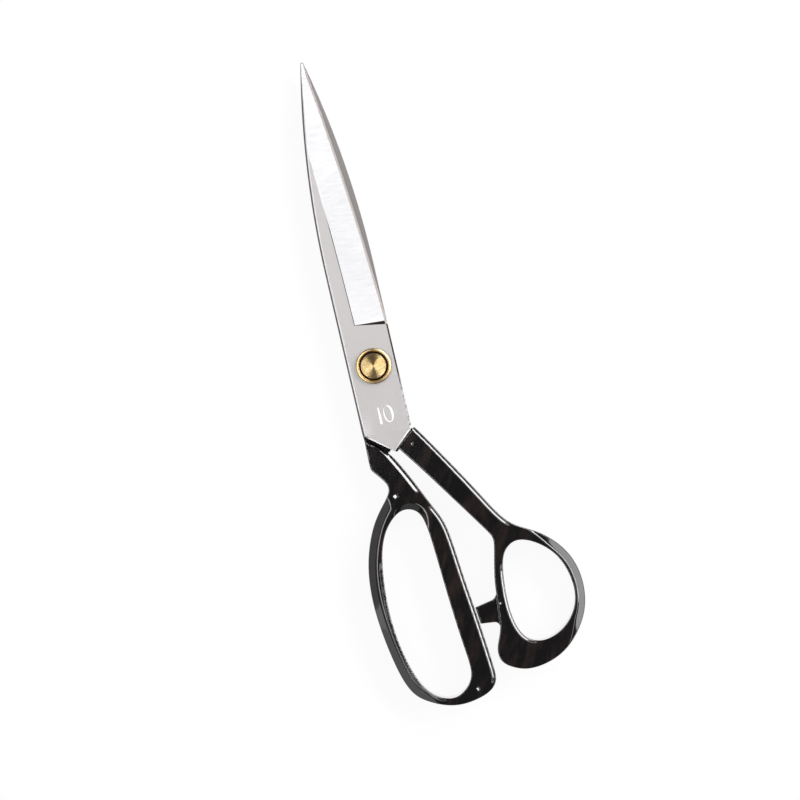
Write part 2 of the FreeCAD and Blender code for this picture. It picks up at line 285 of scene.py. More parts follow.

# %% [markdown]
# Where the flat meets the bevel a narrow strip of the grid carries a painted line: painted shade,
# dark brown, from just behind the pivot to half way, and a painted highlight, nearly white,
# beyond it. The shoulder's cove takes the same painted shade. Along the front corner of the root
# it is painted shade too, brown near the pivot and grey dashes further back, and round the tail
# it is a painted white highlight. One finish makes all of these, its colour a function of how
# far along the blade it is.

# %% Painted shade and highlight line
painted_line_steel, place = start("painted_line")
along = place.node("ShaderNodeSeparateXYZ", {}, {0: place}, "Y")
# Painted shade: dark brown along the crease, in the cove and on the root's front corner near the
# pivot.
painted_shade = along.between(-0.012, -0.004) * (1 - along.between(0.054, 0.064))
broken = place.noise(700.0, 2.0).between(0.35, 0.6)
# Painted highlight: nearly white along the crease's far half and round the tail.
painted_highlight = along.between(0.0, 0.01) + (1 - along.between(-0.0268, -0.0262))
# Painted shade: grey and dark dashes along the root's front corner, further back.
dashes = broken.mixed((0.20, 0.19, 0.20, 1), (0.48, 0.47, 0.47, 1))
bright = painted_highlight.mixed(dashes, (0.97, 0.96, 0.95, 1))
coat(
    painted_line_steel, Base_Color=painted_shade.mixed(bright, (0.042, 0.030, 0.026, 1)), Metallic=1.0,
    Roughness=0.4 + broken * 0.1,
)
print("burr line made")

# %% [markdown]
# A blade is one long bar whose cross-section changes from the tail to the tip: a full-thick
# root with a pointed tail, a coved shoulder, then the bevel that runs out to the tip. It could
# be cut from a block with Boolean tools. Here it is a grid instead: ten columns go round the
# section and each row is one station along the blade, so every border is a column of the grid
# and comes out crisp. The second blade is the same grid turned over.

# %% Lines along the blade
TAIL_POINT = (0.5, -33.6)
TAIL_SPINE_Y, TAIL_EDGE_Y = -25.2, -26.3
LAP_Y, LAP_HEIGHT = -15.0, 1.55
SPINE_BEND_Y, SHOULDER_Y, BEVEL_END_Y = 38.0, 16.8, 87.5
TIP_LEFT, TIP_RIGHT = -1.1, 0.0
LIP, HONED_WIDTH, HONED_SLOPE, BEVEL_SLOPE = 0.35, 0.85, 0.84, 0.2372
PAINTED_LINE_WIDTH, BLUNT, COVE_LEAST = 0.26, 0.35, 0.15
COVE_BACK, COVE_AHEAD, COVE_ACROSS = 2.1, 0.7, 12.2
CHORD_Y, BOW = 16.2, 1.07
CREASE = (-3.47, -1.1, -1.35)
SPINE_ROUND = np.array([(0, -0.58), (0.58, -0.14), (0.66, -0.1), (1.12, 0)])


def spine(y):
    """Back: straight up to the bend, then an arc tangent to it that ends at the tip."""
    across, along = TIP_LEFT - SPINE_X, TIP_Y - SPINE_BEND_Y
    radius = (across**2 + along**2) / (2 * across)
    past = np.maximum(y - SPINE_BEND_Y, 0)
    return SPINE_X + radius - np.sqrt(radius**2 - past**2)


def cutting_edge(y):
    """Chord from the shoulder to the tip, plus a shallow parabola that bows it outwards."""
    share = np.clip((y - CHORD_Y) / (TIP_Y - CHORD_Y), 0, 1)
    return EDGE_X + (TIP_RIGHT - EDGE_X) * share + BOW * 4 * share * (1 - share)


def tail(y):
    """Left and right side of the pointed tail: straight lines from its point to its corners."""
    rise_left = np.clip((y - TAIL_POINT[1]) / (TAIL_SPINE_Y - TAIL_POINT[1]), 0.02, 1)
    rise_right = np.clip((y - TAIL_POINT[1]) / (TAIL_EDGE_Y - TAIL_POINT[1]), 0.02, 1)
    left = TAIL_POINT[0] + (SPINE_X - TAIL_POINT[0]) * rise_left
    right = TAIL_POINT[0] + (EDGE_X - TAIL_POINT[0]) * rise_right
    return left, right


print("back at 80 mm", spine(80.0), "edge at 80 mm", cutting_edge(80.0))

# %% [markdown]
# Three functions give the rows. Each lists the ten points of a section in order: the back's
# foot, four over its rounded corner, two for the strip of painted shade and highlight along the
# crease, the upper border of the honed strip, and the top and foot of the edge. The root is a
# plain bar, the ground part falls from the crease to the edge, and the shoulder joins them in a
# quarter turn.

# %% Cross-sections of the blade


def root_rows(y, lap):
    """Rows of the root: rounded back, flat top, small chamfer on the front side. The corners
    shrink with the width where the tail runs to its point."""
    left, right = tail(y)
    width = right - left
    soft = np.minimum(1, 0.03 + width / 10) * np.where(y < TAIL_SPINE_Y + 0.1, 1.25, 1)
    bottom = np.full(len(y), lap)
    x = [left] + [left + soft * dx for dx, _ in SPINE_ROUND]
    sunk = soft * np.where(y < TAIL_SPINE_Y - 0.1, 0.15, 1)
    h = [bottom] + [BLADE_THICK + sunk * dh for _, dh in SPINE_ROUND]
    x += [left + 0.33 * width, left + 0.35 * width, right - 0.62 * soft, right, right]
    h += [np.full(len(y), BLADE_THICK)] * 3 + [BLADE_THICK - 0.5 * sunk, bottom]
    return np.stack([np.stack(x, 1), np.repeat(y[:, None], 10, 1), np.stack(h, 1)], -1)


def ground_rows(y):
    """Rows of the ground part: back, flat, bevel down to the honed strip, and the edge. The
    crease between flat and bevel is a parabola in the share of the way to its end."""
    left, right = spine(y), cutting_edge(y)
    near_tip = np.clip((TIP_Y - y) / BLUNT, 0, 1) * 0.35 + 0.65
    middle = (left + right) / 2
    left, right = middle + (left - middle) * near_tip, middle + (right - middle) * near_tip
    width = right - left
    soft = np.minimum(1, width / 6)
    share = (y - SHOULDER_Y) / (BEVEL_END_Y - SHOULDER_Y)
    crease = CREASE[0] + CREASE[1] * share + CREASE[2] * share**2
    bevel = np.maximum(crease, left + 1.4 * soft)
    honed = right - np.minimum(HONED_WIDTH, 0.3 * width)
    lip = np.full(len(y), LIP)
    shelf = LIP + HONED_SLOPE * (right - honed)
    blunted = np.clip((TIP_Y - y) / BLUNT, 0, 1) * 0.6 + 0.4
    top = np.minimum(BLADE_THICK, shelf + BEVEL_SLOPE * (honed - bevel)) * blunted
    shelf, lip = shelf * blunted, lip * blunted
    low = np.minimum(soft, top / 1.2)
    # The strip from here to the bevel carries the painted shade and highlight line.
    painted = bevel - PAINTED_LINE_WIDTH * soft
    x = [left] + [left + soft * dx for dx, _ in SPINE_ROUND] + [painted, bevel, honed, right, right]
    h = [0 * y] + [top + low * dh for _, dh in SPINE_ROUND] + [top, top, shelf, lip, 0 * y]
    return np.stack([np.stack(x, 1), np.repeat(y[:, None], 10, 1), np.stack(h, 1)], -1)


def shoulder_rows(steps):
    """Cove from root to bevel: along y as 1 - cos and down as sin of a quarter turn. Its start
    lies further back, and its end less far, the nearer a point is to the edge."""
    start_row = root_rows(np.array([SHOULDER_Y]), 0.0)[0]
    end_row = ground_rows(np.array([SHOULDER_Y]))[0]
    past = np.clip(start_row[:, 0] - end_row[6, 0], 0, None)
    start_row[5:7] = end_row[5:7]
    start_row[:, 1] -= COVE_LEAST + past * COVE_BACK / COVE_ACROSS
    end_row[:, 1] -= past * COVE_AHEAD / COVE_ACROSS
    turn = np.linspace(0, math.pi / 2, steps)[:, None]
    rows = start_row[None] + (end_row - start_row)[None] * np.sin(turn)[..., None]
    rows[..., 1] = start_row[:, 1] + (end_row - start_row)[:, 1] * (1 - np.cos(turn))
    return rows


def blade_grid():
    """All rows of the blade from the tail's point to the tip, as (rows, 10, xyz) with z the
    height over the inner face."""
    tail_y = np.append(np.linspace(TAIL_POINT[1], TAIL_EDGE_Y, 9), (TAIL_SPINE_Y, LAP_Y))
    parts = [root_rows(tail_y, LAP_HEIGHT), root_rows(np.linspace(LAP_Y + 0.01, 12, 4), 0.0)]
    parts += [shoulder_rows(9), ground_rows(np.linspace(18.5, BEVEL_END_Y, 36))]
    parts += [ground_rows(np.append(np.linspace(89, TIP_Y - BLUNT, 20), TIP_Y))]
    return np.concatenate(parts)


rows = blade_grid()
print("blade grid", rows.shape, "from", rows[..., 1].min(), "to", rows[..., 1].max())

# %% [markdown]
# The pivot's bore and the sunk figures are cut out of the closed grid with Boolean modifiers,
# as a drill and an engraver would, and the modifiers are applied so that the mesh is final.
# Borders sharper than a few degrees are then marked sharp, which keeps each ground face flat.

# %% Drilling and engraving


def closed_grid(rows):
    """Faces of a tube of rows: quads all round, and a flat cap at each end."""
    count, columns = rows.shape[:2]
    ends = np.arange(columns)[::-1], (count - 1) * columns + np.arange(columns)
    return [grid_faces(count, columns), ends[0][None], ends[1][None]]


def cut(piece, cutters):
    """Takes the closed cutters out of the piece, applies it, and marks its sharp borders."""
    helpers = [new_shell("cutter", points, faces) for points, faces in cutters]
    for helper in helpers:
        modifier = piece.modifiers.new("cut", "BOOLEAN")
        modifier.operation = "DIFFERENCE"
        modifier.solver = "EXACT"
        modifier.object = helper
    graph = bpy.context.evaluated_depsgraph_get()
    old = piece.data
    piece.data = bpy.data.meshes.new_from_object(piece.evaluated_get(graph))
    piece.modifiers.clear()
    bpy.data.meshes.remove(old)
    for helper in helpers:
        bpy.data.meshes.remove(helper.data)
    piece.data.set_sharp_from_angle(angle=math.radians(12))
    print(piece.name, "cut", len(helpers), "times:", len(piece.data.polygons), "faces")


def bar(low, high, centre, top_width, foot_width, height):
    """Upright bar of a figure one: four corners at two heights, wider at its foot."""
    half = np.array([-foot_width, foot_width, top_width, -top_width]) / 2
    side = np.array([-1, -1, 1, 1]) * height / 2
    flat = np.stack([centre[0] + half, centre[1] + side], 1)
    points = np.concatenate([np.c_[flat, np.full(4, z)] for z in (low, high)])
    faces = [(0, 3, 2, 1), (4, 5, 6, 7), (0, 1, 5, 4), (1, 2, 6, 5), (2, 3, 7, 6), (3, 0, 4, 7)]
    return points, [np.array(faces)]


def nought(low, high, centre, width, height, steps=64):
    """Ring of a figure nought: an upright ellipse with a slimmer one, set off to the upper
    left and leaning, taken out, so that the right-hand stroke is the thick one."""
    turn = np.linspace(0, 2 * math.pi, steps, endpoint=False)
    outer = np.stack([width / 2 * np.cos(turn), height / 2 * np.sin(turn)], 1)
    inner = np.stack([(width / 2 - 0.7) * np.cos(turn), (height / 2 - 0.24) * np.sin(turn)], 1)
    inner = inner + (-0.2, 0.06) + inner[:, 1:] * (-0.08, 0)
    section = [(inner, low), (outer, low), (outer, high), (inner, high)]
    points = np.stack([np.c_[flat + centre, np.full(steps, z)] for flat, z in section], 1)
    return points.reshape(-1, 3), [grid_faces(steps, 4, ring=True)]


def figures(low, high):
    """The one and the nought of the size mark, as closed shells between two heights."""
    one = bar(low, high, (-1.95, FIGURE_Y), 0.55, 1.0, 6.4)
    return one, nought(low, high, (1.5, FIGURE_Y + 0.05), 3.9, 6.6)


FIGURE_Y, ENGRAVED, FILL_GAP = -19.1, 0.15, 0.04
print("cutters ready")

# %% [markdown]
# Every column of the grid has one finish, so a border between two finishes is a line of the
# grid too. Only a few faces differ from their column: the root has no bevel, its front chamfer
# and the shoulder's cove take the painted line, the tail's round corner a painted highlight, and
# the tip the darker back steel as a painted dark line. The lower blade is the same grid mirrored
# in x and height.

# %% The two blades
FLAT, BEVEL, HONED, SIDE, INNER, BACK, PAINTED_LINE = range(7)
KIND_OF_COLUMN = np.array([SIDE, BACK, FLAT, FLAT, FLAT, PAINTED_LINE, BEVEL, HONED, SIDE, INNER])
ROUND_COLUMNS, BEVEL_COLUMN = (1, 2), 6


def blade(name, body, node, turned_over):
    """The blade's grid in its place, mirrored in x and in height if it is turned over."""
    place = rows.reshape(-1, 3).copy()
    place[:, 2] += UPPER_INNER
    if turned_over:
        place[:, 0] = 2 * BLADE_MID_X - place[:, 0]
        place[:, 2] = 2 * PARTING - place[:, 2]
    row_y = np.repeat(rows[:-1, 0, 1], len(KIND_OF_COLUMN))
    kinds = np.tile(KIND_OF_COLUMN, len(rows) - 1)
    in_root = row_y < SHOULDER_Y - COVE_LEAST - 0.001
    kinds[in_root & ((kinds == BEVEL) | (kinds == PAINTED_LINE))] = FLAT
    # The root's front chamfer takes the painted line: brown painted shade, then grey dashes.
    kinds[in_root & (kinds == HONED)] = PAINTED_LINE
    column = np.arange(len(kinds)) % len(KIND_OF_COLUMN)
    in_cove = ~in_root & (row_y < SHOULDER_Y - 0.001)
    # The cove takes the painted shade.
    kinds[in_cove & (column == BEVEL_COLUMN)] = PAINTED_LINE
    # The tail's round corner takes the painted white highlight.
    in_tail = row_y < TAIL_SPINE_Y - 0.01
    kinds[in_tail & np.isin(column, ROUND_COLUMNS)] = PAINTED_LINE
    # Painted shade: the blunt tip takes the darker back steel, so that it shows as a dark line.
    kinds[(row_y > TIP_Y - BLUNT - 0.01) & (kinds != INNER)] = BACK
    finishes = (
        flat_steel, bevel_steel, honed_steel, side_steel, inner_steel, back_steel, painted_line_steel
    )
    kinds = [*kinds, SIDE, SIDE]
    return make_piece(
        name, place, closed_grid(rows), body, node, finishes, kinds
    )


upper = blade("thumb_blade_steel", "thumb_half", "thumb_blade", False)
lower = blade("finger_blade_steel", "finger_half", "finger_blade", True)

# %% [markdown]
# The screw, the cup washer and the bore are all turned work: a profile of radius and height
# carried once round the pivot axis. Two flats on the screw's lower shank key it to the lower
# blade, so its radius is the smaller of the round one and the distance to the flat.

# %% Turned work


def turned(profile, steps, flats=None, ring=False):
    """Profile (radius, height) carried round the axis. Between the two heights of flats =
    (half width, low, high) the radius is cut to half width over the cosine of the turn. A
    ring's profile closes on itself; any other one starts and ends on the axis."""
    profile = np.asarray(profile, float)
    turn = np.linspace(0, 2 * math.pi, steps, endpoint=False)[:, None]
    radius = np.repeat(profile[None, :, 0], steps, 0)
    height = np.repeat(profile[None, :, 1], steps, 0)
    if flats:
        half, low, high = flats
        keyed = (height > low - 1e-6) & (height < high + 1e-6) & (radius > half)
        limit = half / np.maximum(np.abs(np.cos(turn)), 1e-6)
        radius = np.where(keyed, np.minimum(radius, limit), radius)
    points = np.stack([radius * np.cos(turn), radius * np.sin(turn), height], -1)
    columns = len(profile)
    if ring:
        return points.reshape(-1, 3), [grid_faces(steps, columns, ring=True)]
    inner = points[:, 1:-1].reshape(-1, 3)
    quads = grid_faces(steps, columns - 2, ring=True).reshape(steps, columns - 2, 4)[:, :-1]
    top, bottom = len(inner), len(inner) + 1
    here = np.arange(steps) * (columns - 2)
    ahead = np.roll(here, -1)
    poles = [np.stack([np.full(steps, top), here, ahead], 1)]
    last = columns - 3
    poles += [np.stack([np.full(steps, bottom), ahead + last, here + last], 1)]
    points = np.concatenate([inner, [(0, 0, profile[0, 1]), (0, 0, profile[-1, 1])]])
    return points, [quads.reshape(-1, 4), poles[0], poles[1]]


BORE, SHANK_FLAT, KEY_GAP, THROUGH = 3.05, 2.5, 0.05, 20
DRILL = [(0, THROUGH), (BORE, THROUGH), (BORE, -THROUGH), (0, -THROUGH)]
bore = turned(DRILL, 64)
keyway = turned(DRILL, 64, (SHANK_FLAT + KEY_GAP, -THROUGH - 1, THROUGH + 1))
cut(upper, [bore, *figures(UPPER_OUTER - ENGRAVED, UPPER_OUTER + 1)])
cut(lower, [keyway])

# %% [markdown]
# The size of the shears, ten inches, is filled with white enamel that stands just below the
# steel. The fill is the cutters' own shape again, less high, so it fits its groove.

# %% White figures
white, place = start("white_fill")
speck = place.noise(1500.0, 2.0)
coat(white, Base_Color=speck.mixed((0.86, 0.86, 0.87, 1), (0.97, 0.97, 0.97, 1)), Roughness=0.45)
fills = figures(UPPER_OUTER - ENGRAVED, UPPER_OUTER - FILL_GAP)
for name, (points, faces) in zip(("size_mark_one", "size_mark_nought"), fills):
    make_piece(name, points, faces, "thumb_half", None, [white]).data.shade_flat()

# %% [markdown]
# Brass that was faced on a lathe shows fine circular lines. Each line throws light only along
# the radius, so a lamp makes two bright fans that meet at the middle. A stretched highlight
# would need a tangent, which the exported model loses, and a bump this fine would only give
# noise, so the lines are cut into the screw's profile itself. The finish is plain brass with
# painted shade: dark in the groove between the screw and its washer, and darker bands on the
# washer's inner slope and on its outer side.

# %% Turned brass
REACH = 0.0068


def brass(name, light, dark, roughness, shade_by_radius):
    """Brass between two colours; shade_by_radius lists, for distances from the pivot axis in
    metres, the colour that it is multiplied by there, which paints shade where it is dark."""
    made, place = start(name)
    flat = place.stretched(1, 1, 0)
    radius = flat.node("ShaderNodeVectorMath", {"operation": "LENGTH"}, {0: flat}, 1)
    mottle = place.noise(500.0, 3.0)
    tone = mottle.between(0.3, 0.7).mixed((*dark, 1), (*light, 1))
    stops = [(distance / REACH, colour) for distance, colour in shade_by_radius]
    radial_shade = place.node("ShaderNodeValToRGB", {"stops": stops}, {0: radius * (1 / REACH)})
    product = place.node("ShaderNodeVectorMath", {"operation": "MULTIPLY"}, {0: tone, 1: radial_shade})
    return coat(
        made,
        Base_Color=product,
        Metallic=1.0,
        Roughness=roughness + (mottle - 0.5) * 0.08,
    )


# Painted shade: the first colour darkens the groove between the screw head and its washer, the
# third the washer's inner slope and outer side; the second leaves the brass as it is.
GROOVE_SHADE, BARE, SHADED_BAND = (0.04, 0.03, 0.03), (1, 1, 1), (0.52, 0.42, 0.30)
faced_brass = brass(
    "faced_brass", (0.96, 0.74, 0.39), (0.74, 0.48, 0.19), 0.17, [(0.00488, BARE), (0.00497, GROOVE_SHADE)]
)
polished_brass = brass("polished_brass", (0.97, 0.76, 0.42), (0.86, 0.62, 0.28), 0.28, [
    (0.00542, GROOVE_SHADE), (0.00550, SHADED_BAND), (0.00598, SHADED_BAND), (0.00614, BARE),
    (0.00658, BARE), (0.00672, SHADED_BAND),
])
print("brass made for the screw and its washer")

# %% [markdown]
# The screw's head is a shallow dish, and the lathe's lines are ripples across it: one minus a
# cosine, times the steepest slope, times the pitch over two pi. The cup washer is a ring with a
# rolled rim, whose profile closes on itself instead of ending on the axis.

# %% Screw and cup washer
SCREW_END, SCREW_TOP = levels("pivot_screw")
HEAD, HEAD_DISH, HEAD_SIDE, SHANK = 5.0, 0.5, 1.5, 3.0
FACE_END, DISH_END, DISH_POWER = 4.68, 4.7, 1.3
LINE_PITCH, LINE_SLOPE = 0.26, 0.27
seat = SCREW_TOP - HEAD_SIDE
face = np.linspace(0, FACE_END, 109)
dish = SCREW_TOP - HEAD_DISH * (1 - (face / DISH_END) ** DISH_POWER)
dish -= LINE_SLOPE * LINE_PITCH / (2 * math.pi) * (1 - np.cos(2 * math.pi * face / LINE_PITCH))
screw_profile = np.stack([face, dish], 1).tolist() + [
    (4.85, SCREW_TOP - 0.02), (4.96, SCREW_TOP - 0.12), (HEAD, SCREW_TOP - 0.3),
    (HEAD, seat), (SHANK, seat), (SHANK, PARTING + 0.02),
    (SHANK, PARTING), (SHANK, LOWER_OUTER), (SHANK, LOWER_OUTER - 0.02),
    (SHANK, SCREW_END + 0.3), (SHANK - 0.3, SCREW_END), (0, SCREW_END),
]
points, faces = turned(screw_profile, 128, (SHANK_FLAT, LOWER_OUTER, PARTING))
screw = make_piece(
    "pivot_screw_brass", points, faces, "finger_half", "pivot_screw", [faced_brass]
)
CUP_LOW, CUP_TOP = levels("cup_washer")
cup_profile = [
    (3.1, CUP_LOW), (6.7, CUP_LOW), (6.79, CUP_LOW + 0.1), (6.8, CUP_LOW + 0.9),
    (6.77, CUP_TOP - 0.5), (6.68, CUP_TOP - 0.26), (6.56, CUP_TOP - 0.15),
    (6.34, CUP_TOP - 0.08), (6.12, CUP_TOP - 0.03), (5.95, CUP_TOP), (5.72, CUP_TOP - 0.05),
    (5.54, CUP_TOP - 0.15), (5.46, CUP_TOP - 0.3), (5.42, CUP_LOW + 0.8), (3.1, CUP_LOW + 0.8),
]
points, faces = turned(cup_profile, 128, ring=True)
cup = make_piece(
    "cup_washer_brass", points, faces, "finger_half", "cup_washer", [polished_brass]
)
for piece in (screw, cup):
    piece.data.set_sharp_from_angle(angle=math.radians(35))

# %% [markdown]
# Three parts behind the pivot keep their solid nodes, whose shapes are right: the plain washer,
# the split spring washer and the hexagon nut. They only need their metals.

# %% Washers and nut behind the pivot
washer_steel = satin_steel(
    "washer_steel", (0.60, 0.60, 0.61), (0.50, 0.50, 0.51), 0.3, (3.0, 3.0), 700.0, 4e-6
)
for node, finish in (
    ("back_washer", washer_steel), ("spring_washer", washer_steel), ("pivot_nut", polished_brass)
):
    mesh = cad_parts[node].data
    mesh.materials.clear()
    mesh.materials.append(finish)
print("metals given to the parts behind the pivot")

# %% [markdown]
# The handles are castings under thick black enamel: loops and arms that flow into each other,
# with a broad slope ground along some rims and a narrow one on most others. Two crossing bars
# carried along paths would leave a seam where an arm meets its loop. A distance formula has
# none: it says how far a point is outside the casting, and the surface is where it is zero.
# It starts from each outline, a closed spline pulled towards a few control points.

# %% Outlines


class Outline:
    """Closed smooth curve seen from above, and the distance from it."""

    def __init__(self, control, steps=28, grown=0.0):
        """Closed cubic B-spline: each point is the sum of four neighbouring control points
        with the weights (1-t)^3, 3t^3-6t^2+4, -3t^3+3t^2+3t+1 and t^3, over six. It is then
        moved outwards by grown, in millimetres."""
        control = np.array(control, float)
        t = np.arange(steps)[:, None] / steps
        weights = [
            (1 - t) ** 3, 3 * t**3 - 6 * t**2 + 4, -3 * t**3 + 3 * t**2 + 3 * t + 1, t**3
        ]
        shifted = [np.roll(control, 1 - k, axis=0)[:, None] for k in range(4)]
        self.points = (sum(w * s for w, s in zip(weights, shifted)) / 6).reshape(-1, 2)
        step = np.roll(self.points, -1, 0) - np.roll(self.points, 1, 0)
        self.spacing = np.linalg.norm(step, axis=1) / 2
        self.along = step / (2 * self.spacing[:, None])
        x, y = self.points.T
        counter = np.sign(np.sum(x * np.roll(y, -1) - y * np.roll(x, -1)))
        self.outward = np.stack([self.along[:, 1], -self.along[:, 0]], 1) * counter
        self.points = self.points + grown * self.outward

    def measure(self, flat):
        """Signed distance of each point (negative inside), direction in which it grows, and
        the nearest point of the curve."""
        nearest = np.empty(len(flat), int)
        square = (self.points**2).sum(1)
        for first in range(0, len(flat), 8192):
            part = flat[first : first + 8192]
            nearest[first : first + 8192] = (square - 2 * part @ self.points.T).argmin(1)
        offset = np.einsum("ij,ij->i", flat - self.points[nearest], self.along[nearest])
        share = np.clip(offset / self.spacing[nearest], -1, 1)[:, None]
        other = (nearest + np.where(share[:, 0] < 0, -1, 1)) % len(self.points)
        share = np.abs(share)
        foot = self.points[nearest] * (1 - share) + self.points[other] * share
        grow = self.outward[nearest] * (1 - share) + self.outward[other] * share
        grow /= np.linalg.norm(grow, axis=1)[:, None]
        return np.einsum("ij,ij->i", flat - foot, grow), grow, foot


finger_rim = Outline([
    (-9.8, -23.5), (-10.2, -35.3), (-10.1, -38.4), (-10.0, -38.9), (-6.6, -43.0),
    (-4.2, -46.9), (-6.9, -51.0), (-13.4, -57.9),
    (-18.8, -70.3), (-21.0, -83.4), (-20.5, -98.0), (-17.7, -115.4), (-14.5, -125.0),
    (-9.8, -129.7), (0.1, -134.0), (8.0, -133.8), (15.8, -131.7), (19.1, -127.7),
    (18.9, -123.0), (17.3, -103.4), (15.1, -84.5), (13.8, -64.4), (10.0, -58.2), (3.5, -42.5),
    (-5.5, -27.0), (-6.5, -24.6), (-8.9, -20.4), (-10.3, -23.9),
])
finger_hole = Outline([
    (-0.5, -55.6), (4.7, -57.8), (6.6, -64.9), (7.6, -88.0), (9.4, -112.9), (11.1, -124.2),
    (5.6, -129.8), (0.5, -131.5), (-7.0, -128.1), (-12.1, -119.0), (-15.9, -100.5),
    (-15.3, -81.4), (-12.3, -65.1), (-5.5, -57.3),
], grown=-0.15)
thumb_rim = Outline([
    (8.7, -23.9), (18.7, -40.0), (29.2, -57.7), (36.3, -71.0), (46.0, -74.6), (55.0, -82.9),
    (59.3, -92.2), (59.8, -103.0), (56.8, -112.5), (49.6, -121.1), (41.6, -125.5),
    (31.9, -126.9), (25.9, -124.5), (21.5, -121.3), (21.5, -115.0), (25.7, -108.6),
    (25.8, -90.7), (30.3, -75.1), (29.0, -72.7), (19.1, -57.7), (6.8, -39.2), (-1.9, -27.5),
    (-2.8, -24.1), (-2.5, -21.5), (1.7, -19.7), (5.6, -20.7),
])
thumb_hole = Outline([
    (38.0, -76.4), (33.6, -79.0), (30.6, -83.4), (28.9, -101.6), (31.2, -112.3),
    (35.3, -116.4), (41.4, -117.5), (49.5, -114.0), (55.4, -106.3), (56.1, -97.0),
    (52.9, -85.9), (44.9, -78.8),
], grown=-0.15)
print("finger handle rim", len(finger_rim.points), "points along it")

# %% [markdown]
# Three small formulas shape a casting. A rounded corner joins two distances with an arc. A soft
# ramp is a slope that starts without a hard corner. A smooth step fades a slope in along a rim.

# %% Corner, ramp and fade


def rounded(a, b, radius):
    """Inside both a and b, with their shared corner an arc of that radius: the length of what
    is left past the arc's centre, less the radius."""
    u, v = a + radius, b + radius
    outside = np.hypot(np.maximum(u, 0), np.maximum(v, 0))
    return np.minimum(np.maximum(u, v), 0) + outside - radius


def ramp(x, soft):
    """0 for x below 0, x above it, bent over a width of soft: half of x plus its root."""
    return (x + np.sqrt(x * x + soft * soft)) / 2


def fade(x, low, high):
    """0 at low, 1 at high, with the cubic 3t^2 - 2t^3 in between."""
    t = np.clip((x - low) / (high - low), 0, 1)
    return t * t * (3 - 2 * t)


def beyond(flat, first, second):
    """How far a point lies to the right of the line from first to second."""
    first, second = np.array(first), np.array(second)
    along = (second - first) / np.linalg.norm(second - first)
    return (flat[:, 0] - first[0]) * along[1] - (flat[:, 1] - first[1]) * along[0]


print("a corner of radius 1 cuts", round(float(rounded(0.0, 0.0, 1.0)), 3), "mm off")

# %% [markdown]
# Each arm starts as thin as its blade and swells to the full 13 mm towards its loop. A broad
# slope runs along some rims. Most others have a lip: a narrow slope, then a level shelf out to
# the rim, and the slope catches the light as a white line. A chip is a short slope between
# steep walls. The handles differ in their outlines, in where their rims slope and in which side
# of the parting plane they belong to, so one casting class takes those as values.

# %% A casting
ARM_RISE, ARM_STEP, ARM_FAR_SIDE = 24.0, 0.2, 2.2
TONGUE_THICK, TONGUE_GAP = 1.5, 0.05
SOFT_SIDE, LIP_TILT, CORNER = np.array((0.93, 0.37)), 0.43, 0.3
STOP_FILLET, STOP_HALF_THICK, STOP_CORNER = 2.2, 4.0, 0.5
STOP_SUNK, STOP_TOP_Y, STOP_RIGHT_X = 1.5, -88, 29


